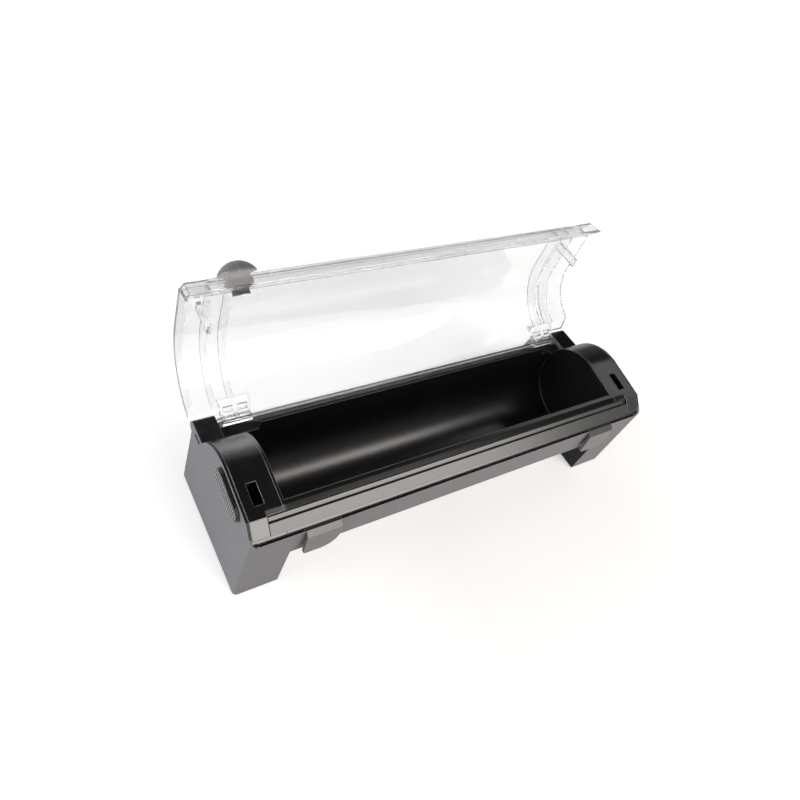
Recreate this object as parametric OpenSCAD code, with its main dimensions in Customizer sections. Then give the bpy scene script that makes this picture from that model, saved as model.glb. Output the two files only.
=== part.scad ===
// Counter-top dispenser for rolls of vacuum bag film: a trough in a two-legged casing, a clear lid with a
// sliding cutter on its front channel, and a release button on each end. Drawn with the lid open on its stop.
// X runs along the casing, Y to the back, Z up from the counter.

/* [Casing] */
// Length of the casing, end face to end face
body_len = 360; // [330:1:420]
// Depth of the casing at the counter
body_depth = 108; // [104:0.5:125]
// Height of the front face, up to the rail bevel
front_h = 76; // [70:0.5:84]
// Forward lean of the front and back faces, in degrees
lean = 4.8; // [2:0.1:7]
// Thickness of the moulded walls
wall = 2; // [1.6:0.1:2.6]
// Width of each leg seen from the front
leg_w = 33; // [28:0.5:45]
// Height of the lower edges of the skirt and the back wall between the legs
skirt_z = 47.5; // [30:0.5:56]
// Distance from the rail bevel down to the top edge of the front wall
skirt_drop = 1.8; // [0.5:0.1:2.4]
// Radius of the upright edges of the casing
edge_r = 3; // [1:0.25:4]
// Thickness of the floor of each leg
floor_t = 3; // [2.4:0.1:5]

/* [Top outline] */
// Length of the rail bevel
bevel_len = 16.8; // [16:0.1:20]
// Length of the flat slope behind the bevel
slope_len = 35; // [33:0.5:45]
// Rise of the slope towards the back, in degrees
slope_angle = 9.5; // [6:0.5:13]
// Radius of the round back of the end bands
arc_r = 38.8; // [37:0.1:42]

/* [Trough] */
// Width of the band at each end of the opening
band_w = 28.7; // [28:0.1:36]
// Inside radius of the trough
trough_r = 38; // [34:0.1:39]
// Distance from the rail bevel to the front edge of the opening
deck_w = 7.4; // [6:0.1:10]
// Height of the rim behind the trough
rim_z = 76; // [72:0.5:79]

/* [Rail] */
// Thickness of the rail strip
rail_t = 2.2; // [1.8:0.1:3]
// Width of the rail strip down the bevel
rail_w = 12.4; // [9:0.1:13.5]
// Length of the plain piece at each end of the rail
rail_end_w = 14.5; // [10:0.1:16]
// Distance from the top of the bevel to the blade groove
groove_t = 4.2; // [3.4:0.1:6]
// Width of the blade groove
groove_w = 1.6; // [1.2:0.1:2.4]

/* [Hinge] */
// Height of the hinge axis
hinge_z = 67.4; // [64:0.1:70]
// Distance from the hinge axis to the back face
hinge_inset = 2.6; // [2:0.1:4]
// Radius of the hinge lugs and knuckles
lug_r = 4.8; // [4:0.1:5.5]
// Length of each hinge lug
lug_w = 16.5; // [14:0.1:20]
// Length of each lid knuckle
knuckle_w = 22.4; // [18:0.1:26]
// Distance the left knuckle sits nearer the middle than the right one
knuckle_shift = 4.2; // [0:0.1:8]
// Radius of the hinge pins
pin_r = 2; // [1.5:0.1:2.5]

/* [Lid] */
// Angle from the closed lid to the open stop, in degrees
open_angle = 95.5; // [85:0.5:105]
// Reach of the lid past each end face
lid_reach = 1.5; // [0.5:0.1:3]
// Depth of the lid's end flanges
flange_d = 13.3; // [12.5:0.1:16]
// Thickness of the lid's skin, flanges and ribs
lid_wall = 2; // [1.4:0.1:2.4]
// Thickness of the walls of the cutter channel
channel_wall = 1.8; // [1.4:0.1:2]
// Slope of the channel's top plate, in degrees
channel_angle = 37; // [34:0.5:40]
// Distance of the channel's front lip in front of the casing
lip_clear = 3.4; // [3.2:0.1:5]
// Depth of the cutter channel from front to back, with the lid closed
channel_depth = 12.9; // [12.6:0.1:13.4]
// Distance of the outer arc ribs from the casing's end faces
outer_rib_in = 17; // [16.8:0.1:18]
// Distance of the inner arc ribs from the casing's end faces
inner_rib_in = 30.5; // [29:0.1:34]

/* [Cutter] */
// Distance from the left end face to the parked cutter
cutter_in = 35.5; // [30:0.5:170]
// Radius of the knob's dome
dome_r = 13.3; // [10:0.1:15]
// Height of the knob's dome
dome_h = 8.6; // [5:0.1:10]
// Length of the carriage in the channel
carriage_len = 18; // [14:0.5:24]
// Thickness of the cutter's necks in the slots
neck_t = 3.2; // [2.8:0.1:3.4]
// Radius of the blade holder's foot
foot_r = 6; // [4.5:0.1:7]
// Reach of the blade into the groove
blade_reach = 1.3; // [0.8:0.1:1.4]

/* [Latch] */
// Length of a release button
button_len = 38; // [36:0.5:42]
// Height of a release button
button_h = 13.6; // [12:0.1:15]
// Distance a button stands out from the end face
button_out = 3.2; // [1.5:0.1:4]
// Travel of a button
button_travel = 2.4; // [2:0.1:3.2]
// Width of a hook slot across the band
slot_w = 7; // [6.6:0.1:8]
// Length of a hook slot up the slope
slot_len = 16; // [15:0.1:18]
// Distance from the bevel to a hook slot
slot_u = 9; // [8.5:0.1:10.5]
// Distance from the end face to a hook slot
slot_in = 9; // [8.6:0.1:9.4]
// Thickness of a latch plate
plate_t = 2; // [1.5:0.1:2.4]

/* [Front tabs] */
// Width of a front tab
tab_w = 26; // [20:0.5:34]
// Distance from the left end face to the left tab
tab_in_left = 39.3; // [34:0.1:60]
// Distance from the right end face to the right tab
tab_in_right = 34.5; // [34:0.1:60]
// Reach of a front tab in front of the casing, which is also the drop of its slanted top
tab_reach = 3.6; // [3.2:0.1:5]
// Height of a front tab
tab_h = 24; // [18:0.2:25]
// Radius of a front tab's right lower corner
tab_r = 13; // [3:0.5:14]
// Radius of a front tab's left lower corner
tab_r_small = 2.4; // [0.5:0.1:6]

/* [Fasteners and feet] */
// Radius of the insert screws' shanks
screw_r = 1.5; // [1.2:0.1:1.8]
// Radius of the foot pads
pad_r = 6; // [4:0.5:7]
// Distance the foot pads stand below the legs
pad_proud = 0.8; // [0.4:0.1:1.5]

/* [Hidden] */
$fn = 64;

// Clearances
seam = 0.3;
fit = 0.05;
run_gap = 0.4;
far = 300;
trim = 1;
bevel_angle = 45;

// Lines in the end view, as points of Y and Z and angles in degrees
function dir(a) = [cos(a), sin(a)];
function side(a) = [-sin(a), cos(a)];
function meet(p, a, q, b) = p + dir(a) * cross(q - p, dir(b)) / cross(dir(a), dir(b));
function turn(p, a) = [p.x * cos(a) - p.y * sin(a), p.x * sin(a) + p.y * cos(a)];

// End outline of the casing
half = body_len / 2;
lean_up = 90 + lean;
rail_low = [-front_h * tan(lean), front_h];
skirt_top = front_h - skirt_drop;
skirt_half = half - 2 * edge_r;
rail_top = rail_low + bevel_len * dir(bevel_angle);
slope_end = rail_top + slope_len * dir(slope_angle);
arc_lift = 0.02;
arc_c = slope_end - (arc_r - arc_lift) * side(slope_angle);
function front_at(z, d = 0) = -z * tan(lean) + d / cos(lean);
function back_at(z, d = 0) = body_depth - z * tan(lean) - d / cos(lean);
function corner_low(d, f = 0) =
    meet((d + f) * side(lean_up), lean_up, rail_low + d * side(bevel_angle), bevel_angle);
function corner_top(d) =
    meet(rail_low + d * side(bevel_angle), bevel_angle, rail_top + d * side(slope_angle), slope_angle);
function corner_arc(d) = slope_end + d * side(slope_angle);
function slope_pt(u, w) = rail_top + u * dir(slope_angle) + w * side(slope_angle);
function arc_y(r, z) = arc_c.x + sqrt(r * r - pow(z - arc_c.y, 2));

// Hinge
hinge = [back_at(hinge_z) - hinge_inset, hinge_z];
lug_top = hinge_z + lug_r;
lug_front = arc_y(arc_r, lug_top) + seam;
lug_h = 14;
lug_low = lug_top - lug_h;
lug_x = half - lug_w;
knuckle_out = lug_x - seam;
knuckle_in = knuckle_out - knuckle_w;
seat_in = knuckle_in - run_gap;
knuckle_blind = 0.8;
knuckle_face = 20;
pin_slot_h = 4.2;
pin_slot_d = 4;
pin_slot_near = 5.5;
pin_cap = 1.2;
pin_tail_r = 1.1;
pin_tail_len = 14;
function opened(p) = hinge + turn(p - hinge, -open_angle);

// Trough and insert
open_half = half - band_w;
insert_half = half - wall - seam;
front_in = arc_c.x - trough_r;
back_in = arc_c.x + trough_r;
open_front = slope_pt(deck_w, 0).x;
tongue_z = front_h - 6;
rim_lip = 0.1;
apron_z = hinge_z - lug_r - 0.8;
apron_y = hinge.x - lug_r - 1.2;
apron_half = lug_x - seam;
knuckle_seat_z = lug_top - 4;
function apron_face(z) = apron_y - (apron_y - back_in - rim_lip - wall) * (z - apron_z) / (rim_z - apron_z);
bed_d = rail_t + wall;

// Rail: t runs down the bevel from the groove, s out of the bevel
groove = rail_top - groove_t * dir(bevel_angle);
function rail_pt(t, s) = groove - t * dir(bevel_angle) + s * side(bevel_angle);
rail_half = half - rail_end_w;
rail_start = 0.6 - groove_t;
rail_stop = rail_start + rail_w;
groove_d = 1.7;
pocket_len = 4.6;
pocket_d = 1.4;
deck_chamfer = 4.2;
chamfer_drop = 1.2;

// Lid, drawn closed and then turned open about the hinge
lid_gap = 0.5;
rib_gap = 1.5;
lid_d = lid_gap + flange_d;
lid_half = half + lid_reach;
lid_rear_z = lug_top + 0.6;
skirt_low = apron_z + 0.7;
rail_gap = 3.3;
lip_t = 1.6;
lip_y = rail_low.x - lip_clear;
slot_play = 0.6;
slot_half_w = (neck_t + slot_play) / 2;
cutter_slot_in = 14;
cutter_slot_half = half - cutter_slot_in;
box_low = meet(rail_low + rail_gap * side(bevel_angle), bevel_angle, [lip_y, 0], 90);
box_back = meet(rail_low + rail_gap * side(bevel_angle), bevel_angle, [lip_y + channel_depth, 0], 90);
box_top = meet(rail_top + lid_d * side(slope_angle), slope_angle, [box_back.x, 0], 90);
box_front = meet(box_top, channel_angle, [lip_y, 0], 90);
box_floor = rail_low + (rail_gap + channel_wall) * side(bevel_angle);
box_roof = box_top - channel_wall * side(channel_angle);
web_rise = 8;
web_in = 2;
pocket_w = 7.4;
pocket_up = 1.5;
pocket_h = 4;
pocket_deep = 4.2;
window_w = 8;
window_z = 2.6;
window_front = 3.6;
window_d = 4.6;
heel_t = 3;
heel_drop = 4.5;
heel_low = apron_z - heel_drop;

// Cutter, s along its axis
cutter_x = cutter_in - half;
foot_s = [0.4, 2.2];
carriage_h = 4.7;
carriage_s = [rail_gap + channel_wall + run_gap, rail_gap + channel_wall + run_gap + carriage_h];
carriage_t = 2.9;
dome_s = 14.8;
dome_rim = 1;
dome_sphere = (dome_r * dome_r + pow(dome_h - dome_rim, 2)) / (2 * (dome_h - dome_rim));
knob_neck_w = carriage_len - 2;
foot_rear = 2.4;
cutter_screw_r = 1;
cutter_screw_head = 1.8;
cutter_screw_x = -3.4;
cutter_screw_top = dome_s - 1;
blade_x = [-0.4, 5];
blade_t = 0.5;

// Latch, in the slope's frame: u up the slope, w out of it
button_front = 3;
button_u = slot_u - button_front;
button_drop = 2.4;
button_w = -button_drop - button_h;
lip_front = 0.9;
lip_rear = 1.5;
button_lip_t = 1.8;
hook_t = 3;
hook_start = slot_u + 3;
hook_w = 7;
hook_u = [hook_start, hook_start + hook_w];
hook_x = half - slot_in - (slot_w - hook_t) / 2 - hook_t + 0.1;
hook_nose = 1.6;
hook_end = -11.6;
plate_w = -7.5;
plate_u = [slot_u - 1.5, slot_u + slot_len + 2.5];
plate_reach = 10;
plate_in = half - slot_in - plate_reach;
plate_out = insert_half - seam - button_lip_t - 0.1;
window_in = hook_x - seam;
window_out = hook_x + hook_t + button_travel + 0.4;
window_u = [slot_u + 0.5, slot_u + slot_len + 0.5];
socket_len = 2.5;
socket_wall = 2.4;
spring_r = 2.5;
spring_bore = 1.9;
spring_u = slot_u + slot_len / 2;
peg_r = 1.5;
peg_len = 3.2;

// Front tabs
tab_t = 2.2;
tab_top = skirt_top;
tab_y = front_at(tab_top) - tab_reach;
tab_knee = tab_top - tab_reach;
tab_leg = 1.8;
tab_leg_low = front_h - 10;

// Screws and feet
boss_r = 4.3;
boss_x = open_half + wall + boss_r - 0.3;
boss_spread = 16.5;
boss_y = [arc_c.x - boss_spread, arc_c.x + boss_spread];
boss_drop = 11.4;
boss_top = arc_c.y - boss_drop;
boss_split = boss_top / 2;
head_r = 2.9;
head_deep = 8;
head_z = boss_split - head_deep;
head_t = 2;
screw_grip = 9;
screw_end = boss_split + screw_grip;
pad_in = 14;
pad_y = [pad_in, body_depth - pad_in];
pad_x = half - leg_w / 2;
pad_t = pad_proud + floor_t / 2;

// Middle of the whole part from front to back, with the lid open
dome_c = opened(rail_pt(0, dome_s + dome_h - dome_sphere));
y_max = max(opened(arc_c).x + arc_r + lid_d, dome_c.x + dome_sphere);
y_mid = (tab_y + y_max) / 2;

// Frames
module place() { translate([0, -y_mid, 0]) children(); }
module along_x(x0, x1) { translate([x0, 0, 0]) rotate([90, 0, 90]) linear_extrude(x1 - x0) children(); }
module both() { children(); mirror([1, 0, 0]) children(); }
module left_hand() { mirror([1, 0, 0]) children(); }
module both_knuckles() {
    children();
    translate([knuckle_shift, 0, 0]) left_hand() children();
}
module both_tabs() {
    translate([half - tab_in_right, 0, 0]) children();
    translate([tab_in_left - half, 0, 0]) left_hand() children();
}
module slope_frame() { translate([0, rail_top.x, rail_top.y]) rotate([slope_angle, 0, 0]) children(); }
module rail_frame() { translate([0, groove.x, groove.y]) rotate([bevel_angle, 0, 0]) children(); }
module lid_open() {
    translate([0, hinge.x, hinge.y]) rotate([-open_angle, 0, 0]) translate([0, -hinge.x, -hinge.y]) children();
}
module cylinder_x(x0, x1, r) { translate([x0, 0, 0]) rotate([0, 90, 0]) cylinder(h = x1 - x0, r = r); }

// Outlines in the end view
module crown(d, f = 0) {
    polygon([
        meet((d + f) * side(lean_up), lean_up, [0, 0], 0), corner_low(d, f), corner_top(d), corner_arc(d), arc_c,
        [arc_c.x, 0]
    ]);
    translate(arc_c) circle(arc_r + d);
}
module block_yz(y0, z0, y1, z1) { translate([y0, z0]) square([y1 - y0, z1 - z0]); }
module end_face() {
    intersection() {
        union() {
            crown(0, trim);
            polygon([
                [arc_c.x, 0], [back_at(0, -trim), 0], [back_at(hinge_z, -trim), hinge_z], hinge,
                [hinge.x, lug_top], [arc_c.x, lug_top]
            ]);
        }
        block_yz(-far, pad_proud, far, far);
    }
}
module front_wall(z0, z1) {
    polygon([
        [front_at(z0, -trim), z0], [front_at(z1, -trim), z1], [front_at(z1, wall), z1], [front_at(z0, wall), z0]
    ]);
}
module back_wall(z0, z1) {
    polygon([
        [back_at(z0, -trim), z0], [back_at(z1, -trim), z1], [back_at(z1, wall), z1], [back_at(z0, wall), z0]
    ]);
}
module stadium(u, w, len, h) {
    translate([u + h / 2, w + h / 2]) circle(h / 2);
    translate([u + len - h / 2, w + h / 2]) circle(h / 2);
    translate([u + h / 2, w]) square([len - h, h]);
}

// Lower shell
module envelope() {
    rotate([lean, 0, 0]) translate([0, 0, -far / 2]) linear_extrude(far) {
        depth = body_depth * cos(lean);
        for (x = [-1, 1], y = [edge_r, depth - edge_r]) translate([x * (half - edge_r), y]) circle(edge_r);
        translate([-half + edge_r, 0]) square([body_len - 2 * edge_r, depth]);
        translate([-half, edge_r]) square([body_len, depth - 2 * edge_r]);
    }
}
module saddle() {
    saddle_r = trough_r + wall + run_gap;
    translate(arc_c) circle(saddle_r);
    block_yz(arc_c.x - saddle_r, arc_c.y, arc_c.x + saddle_r, far);
}
module shell_walls() {
    leg_x = half - leg_w;
    back_top = apron_z - wall - seam;
    along_x(-half, half) front_wall(skirt_z, front_h);
    along_x(-half, half) back_wall(skirt_z, back_top);
    both() {
        along_x(half - wall, half) end_face();
        along_x(lug_x, half) lug();
        along_x(leg_x, half) front_wall(pad_proud, front_h);
        along_x(leg_x, half) back_wall(pad_proud, back_top);
        along_x(leg_x, half) intersection() {
            end_face();
            block_yz(-far, 0, far, pad_proud + floor_t);
        }
        along_x(leg_x, leg_x + wall) difference() {
            intersection() {
                end_face();
                block_yz(-far, 0, far, back_top);
            }
            saddle();
        }
    }
}
module lug() {
    polygon([
        [lug_front, lug_low], [back_at(lug_low, -trim), lug_low], [back_at(hinge_z, -trim), hinge_z], hinge,
        [hinge.x, lug_top], [lug_front, lug_top]
    ]);
}
module lower_shell() {
    color("dimgray") place() difference() {
        union() {
            intersection() {
                envelope();
                shell_walls();
            }
            both() {
                along_x(lug_x, half) translate(hinge) circle(lug_r);
                for (y = boss_y) translate([boss_x, y, pad_proud + floor_t / 2])
                    cylinder(h = boss_split - seam - pad_proud - floor_t / 2, r = boss_r);
            }
        }
        both() {
            translate([0, hinge.x, hinge.y]) cylinder_x(lug_x - 1, half - pin_cap, pin_r + fit);
            along_x(half - pin_slot_d, half - pin_cap) translate(hinge - [pin_tail_len, pin_slot_h / 2])
                square([pin_tail_len, pin_slot_h]);
            along_x(half - pin_slot_d, half + 1) translate(hinge - [pin_tail_len + 1, pin_slot_h / 2])
                square([pin_tail_len + 1 - pin_slot_near, pin_slot_h]);
            slope_frame() along_x(half - wall - 1, half + 1)
                stadium(button_u - run_gap, button_w - run_gap, button_len + 2 * run_gap, button_h + 2 * run_gap);
            for (y = boss_y) translate([boss_x, y, 0]) {
                cylinder(h = boss_split, r = screw_r + 2 * fit);
                translate([0, 0, -1]) cylinder(h = head_z + 1, r = head_r + 2 * fit);
            }
            for (y = pad_y) translate([pad_x, y, 0]) cylinder(h = pad_t, r = pad_r + fit);
        }
        along_x(-skirt_half, skirt_half) block_yz(-far, skirt_top, front_at(front_h, 2 * wall), far);
        both_tabs() along_x(-tab_w - seam, seam)
            block_yz(-far, tab_top - tab_t, front_at(front_h, 2 * wall), far);
    }
}

// Trough insert
module deck_zone(y_end) {
    polygon([
        [front_at(tongue_z, wall + seam), tongue_z], [front_at(far, wall + seam), far], [y_end, far],
        [y_end, tongue_z - 8], [front_in, tongue_z - 8], [front_in, tongue_z]
    ]);
}
module band_core() {
    core = wall / 4;
    polygon([
        slope_pt(slope_len - wall, -core), slope_pt(slope_len + wall, -core), slope_pt(slope_len + wall, core - wall),
        slope_pt(slope_len - wall, core - wall)
    ]);
}
module deck(y_end) {
    intersection() {
        union() {
            difference() {
                crown(0);
                crown(-wall);
            }
            intersection() {
                difference() {
                    crown(0);
                    crown(-bed_d);
                }
                block_yz(-far, 0, front_in, far);
            }
        }
        deck_zone(y_end);
    }
}
module trough_wall() {
    difference() {
        union() {
            translate(arc_c) circle(trough_r + wall);
            block_yz(front_in - wall, arc_c.y, front_in, slope_pt(0, -wall).y);
            block_yz(back_in, arc_c.y, back_in + wall, rim_z);
        }
        translate(arc_c) circle(trough_r);
        block_yz(front_in, arc_c.y, back_in, far);
    }
}
module trough_end() {
    intersection() {
        union() {
            crown(-wall / 2);
            block_yz(-far, -far, far, arc_c.y);
        }
        union() {
            translate(arc_c) circle(trough_r + wall / 2);
            block_yz(front_in - wall / 2, arc_c.y, back_in + wall / 2, far);
        }
    }
}
module apron() {
    edge = rim_lip + wall;
    polygon([
        [back_in, rim_z], [back_in + edge, rim_z], [apron_y, apron_z], [back_at(apron_z, -trim), apron_z],
        [back_at(apron_z - wall, -trim), apron_z - wall], [apron_y - wall / 2, apron_z - wall],
        [back_in + edge - wall, rim_z - wall], [back_in, rim_z - wall]
    ]);
}
module knuckle_seat(y0) { block_yz(y0, knuckle_seat_z - wall, apron_y - 2, knuckle_seat_z); }
module seat_end() {
    low = knuckle_seat_z - wall;
    top = rim_z - wall / 2;
    polygon([
        [back_in + wall / 2, low], [apron_face(low) - wall / 2, low], [apron_face(top) - wall / 2, top],
        [back_in + wall / 2, top]
    ]);
}
module rail_recess() {
    polygon([
        rail_pt(rail_start - seam, -rail_t), rail_pt(2 * bevel_len, -rail_t), rail_pt(2 * bevel_len, bevel_len),
        rail_pt(rail_start - seam, bevel_len)
    ]);
    chamfer_low = rail_pt(rail_start - seam, -chamfer_drop);
    chamfer_high = slope_pt(deck_chamfer, 0);
    polygon([chamfer_low, rail_pt(rail_start - seam, bevel_len), 2 * chamfer_high - chamfer_low]);
}
module rail_ledge() {
    polygon([
        rail_pt(rail_stop, -rail_t), rail_pt(2 * bevel_len, -rail_t), rail_pt(2 * bevel_len, bevel_len),
        rail_pt(rail_stop, bevel_len)
    ]);
}
module tab_notch() {
    inner = 2 * wall + 3 * fit;
    polygon([
        [front_at(0) - wall, 0], [front_at(0, inner), 0], [front_at(tab_top + seam, inner), tab_top + seam],
        [front_at(tab_top + seam) - wall, tab_top + seam]
    ]);
}
module insert_cuts() {
    along_x(-rail_half, rail_half) rail_recess();
    along_x(-half, half) rail_ledge();
    both_tabs() along_x(-tab_w - seam, seam) tab_notch();
}
module trough_insert() {
    end_x = open_half + wall;
    color("black") place() difference() {
        intersection() {
            envelope();
            union() {
                along_x(-end_x, end_x) {
                    deck(open_front);
                    trough_wall();
                }
                along_x(-apron_half, apron_half) apron();
                both_knuckles() {
                    along_x(seat_in - wall, open_half + knuckle_shift + wall / 2)
                        knuckle_seat(back_in + wall / 2);
                    along_x(seat_in - wall, seat_in) seat_end();
                }
                both() {
                    along_x(open_half, end_x) {
                        deck(lug_front - seam);
                        trough_end();
                        knuckle_seat(lug_front - seam - wall);
                    }
                    along_x(end_x, apron_half) knuckle_seat(lug_front - seam);
                    for (y = boss_y) translate([boss_x, y, boss_split]) cylinder(h = boss_top - boss_split, r = boss_r);
                }
            }
        }
        insert_cuts();
        both_knuckles() along_x(seat_in, half) block_yz(lug_front - seam, knuckle_seat_z, far, far);
        both() for (y = boss_y) translate([boss_x, y, 0]) cylinder(h = screw_end + 2, r = screw_r + fit);
    }
}

// End bands of the insert, each with its hook slot
module end_band() {
    color("black") difference() {
        intersection() {
            envelope();
            union() {
                along_x(open_half + wall, insert_half) deck(lug_front - seam);
                along_x(open_half + wall, insert_half) band_core();
            }
        }
        insert_cuts();
        slope_frame() translate([half - slot_in - slot_w, slot_u, -2 * wall]) cube([slot_w, slot_len, 4 * wall]);
    }
}
module end_band_left() { place() left_hand() end_band(); }
module end_band_right() { place() end_band(); }

// Rail strip
module rail_section() {
    difference() {
        polygon([
            rail_pt(rail_start, -rail_t), rail_pt(rail_stop, -rail_t), rail_pt(rail_stop, 0), rail_pt(rail_start, 0)
        ]);
        polygon([
            rail_pt(-groove_w / 2, -groove_d), rail_pt(groove_w / 2, -groove_d), rail_pt(groove_w / 2, 1),
            rail_pt(-groove_w / 2, 1)
        ]);
    }
}
module cutting_rail() {
    color("darkgray") place() difference() {
        along_x(-rail_half + seam, rail_half - seam) rail_section();
        along_x(rail_half - pocket_len, rail_half) polygon([
            rail_pt(rail_start - 1, -pocket_d), rail_pt(0, -pocket_d), rail_pt(0, 1), rail_pt(rail_start - 1, 1)
        ]);
    }
}

// Front tabs, clipped over the skirt
module tab_section() {
    leg = wall + fit;
    bridge = tab_top - tab_t;
    low = tab_top - tab_h;
    polygon([
        [tab_y, low], [tab_y, tab_knee], [front_at(tab_top), tab_top], [front_at(tab_top, leg + tab_leg), tab_top],
        [front_at(tab_leg_low, leg + tab_leg), tab_leg_low], [front_at(tab_leg_low, leg), tab_leg_low],
        [front_at(bridge, leg), bridge], [front_at(bridge, -fit), bridge], [tab_y + tab_t, tab_knee],
        [tab_y + tab_t, low]
    ]);
}
module tab_outline() {
    low = tab_top - tab_h;
    translate([tab_r_small, low + tab_r_small]) circle(tab_r_small);
    translate([tab_w - tab_r, low + tab_r]) circle(tab_r);
    translate([tab_r_small, low]) square([tab_w - tab_r_small - tab_r, tab_h]);
    translate([0, low + tab_r_small]) square([tab_r_small + trim, tab_h - tab_r_small]);
    translate([tab_w - tab_r - trim, low + tab_r]) square([tab_r + trim, tab_h - tab_r]);
}
module front_tab() {
    color("black") intersection() {
        along_x(0, tab_w) tab_section();
        translate([0, far / 2, 0]) rotate([90, 0, 0]) linear_extrude(far) tab_outline();
    }
}
module front_tab_left() { place() translate([tab_in_left - half, 0, 0]) front_tab(); }
module front_tab_right() { place() translate([half - tab_in_right - tab_w, 0, 0]) front_tab(); }

// Hinge pins, with a bent tail in the slot of the lug
module hinge_pin(shift) {
    tail_x = half - pin_slot_d + pin_tail_r + seam;
    color("silver") translate([0, hinge.x, hinge.y]) {
        cylinder_x(knuckle_in + 1 - shift, tail_x + pin_tail_r, pin_r);
        translate([tail_x, 0, 0]) rotate([90, 0, 0]) cylinder(h = pin_tail_len, r = pin_tail_r);
    }
}
module hinge_pin_left() { place() left_hand() hinge_pin(knuckle_shift); }
module hinge_pin_right() { place() hinge_pin(0); }

// Screws and feet
module insert_screws() {
    color("silver") place() both() for (y = boss_y) translate([boss_x, y, 0]) {
        translate([0, 0, head_z - head_t]) cylinder(h = head_t, r = head_r);
        translate([0, 0, head_z - head_t / 2]) cylinder(h = screw_end - head_z + head_t / 2, r = screw_r);
    }
}
module foot_pads() {
    color("#303030") place() both() for (y = pad_y) translate([pad_x, y, 0]) cylinder(h = pad_t, r = pad_r);
}

// Lid
module lid_skin(low) {
    intersection() {
        difference() {
            crown(lid_d);
            crown(lid_d - lid_wall);
        }
        block_yz(box_top.x - channel_wall, low, far, far);
    }
}
module lid_web(gap, depth) {
    foot = meet(rail_top + gap * side(slope_angle), slope_angle, [box_back.x - channel_wall / 2, 0], 90);
    intersection() {
        difference() {
            crown(depth);
            crown(gap);
        }
        polygon([
            foot, [foot.x, far], [far, far], [far, lid_rear_z], [arc_c.x, lid_rear_z], corner_arc(gap)
        ]);
    }
}
module channel_box() {
    difference() {
        polygon([box_top, box_front, box_low, box_back]);
        polygon([
            meet(box_roof, channel_angle, [box_back.x - channel_wall, 0], 90),
            meet(box_roof, channel_angle, [lip_y + lip_t, 0], 90),
            meet(box_floor, bevel_angle, [lip_y + lip_t, 0], 90),
            meet(box_floor, bevel_angle, [box_back.x - channel_wall, 0], 90)
        ]);
    }
}
module channel_slot() {
    polygon([
        rail_pt(-slot_half_w, 1), rail_pt(slot_half_w, 1), rail_pt(slot_half_w, far / 10),
        rail_pt(-slot_half_w, far / 10)
    ]);
}
module knuckle() {
    outer = arc_r + lid_d - lid_wall / 2;
    polygon([
        [lug_front + web_in, lid_rear_z], [arc_y(outer, lid_rear_z + web_rise), lid_rear_z + web_rise],
        [arc_y(outer, lid_rear_z), lid_rear_z], hinge + lug_r * dir(knuckle_face), hinge, hinge + lug_r * dir(180)
    ]);
    translate(hinge) circle(lug_r);
    translate(hinge) rotate(open_angle) translate(-hinge) polygon([
        [back_at(heel_low) + seam, heel_low], [back_at(heel_low) + seam + heel_t, heel_low],
        [hinge.x + lug_r, hinge_z], hinge, [back_at(apron_z) + seam, apron_z]
    ]);
}
module knuckle_pockets() {
    face = hinge + lug_r * dir(180);
    run = [lug_front + web_in, lid_rear_z] - face;
    slope = atan2(run.y, run.x);
    pitch = knuckle_w / 2;
    for (i = [0, 1]) translate([knuckle_in + pitch * (i + 0.5) - pocket_w / 2, face.x, face.y])
        rotate([slope, 0, 0]) translate([0, pocket_up, -pocket_deep]) cube([pocket_w, pocket_h, 2 * pocket_deep]);
}
module knuckle_windows() {
    pitch = knuckle_w / 2;
    translate([0, hinge.x, hinge.y]) rotate([open_angle, 0, 0])
        for (i = [0, 1]) translate([knuckle_in + pitch * (i + 0.5) - window_w / 2, -window_front, window_z])
            cube([window_w, window_d, lug_r]);
}
module hook() {
    tip = hook_x + hook_t / 2;
    plate_low = plate_w - plate_t / 2;
    slope_frame() translate([0, hook_u[1], 0]) rotate([90, 0, 0]) linear_extrude(hook_u[1] - hook_u[0]) polygon([
        [hook_x + hook_t, hook_end + 1], [hook_x + hook_t, lid_d - lid_wall / 2], [hook_x, lid_d - lid_wall / 2],
        [hook_x, plate_low - seam], [hook_x - hook_nose, plate_low - seam], [hook_x, hook_end], [tip, hook_end]
    ]);
}
module lid() {
    color("lightcyan") place() lid_open() difference() {
        union() {
            along_x(-lid_half, lid_half) {
                lid_skin(lid_rear_z);
                channel_box();
            }
            along_x(knuckle_shift - knuckle_out, knuckle_out) lid_skin(skirt_low);
            both_knuckles() along_x(knuckle_in, knuckle_out) knuckle();
            both() {
                along_x(lid_half - lid_wall, lid_half) lid_web(lid_gap, lid_d - lid_wall / 2);
                for (x = [half - outer_rib_in, half - inner_rib_in])
                    along_x(x - lid_wall / 2, x + lid_wall / 2) lid_web(rib_gap, lid_d - lid_wall / 2);
                hook();
            }
        }
        along_x(-cutter_slot_half, cutter_slot_half) channel_slot();
        both_knuckles() {
            knuckle_pockets();
            knuckle_windows();
            translate([0, hinge.x, hinge.y]) cylinder_x(knuckle_in + knuckle_blind, knuckle_out + 1, pin_r + fit);
        }
    }
}

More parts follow.
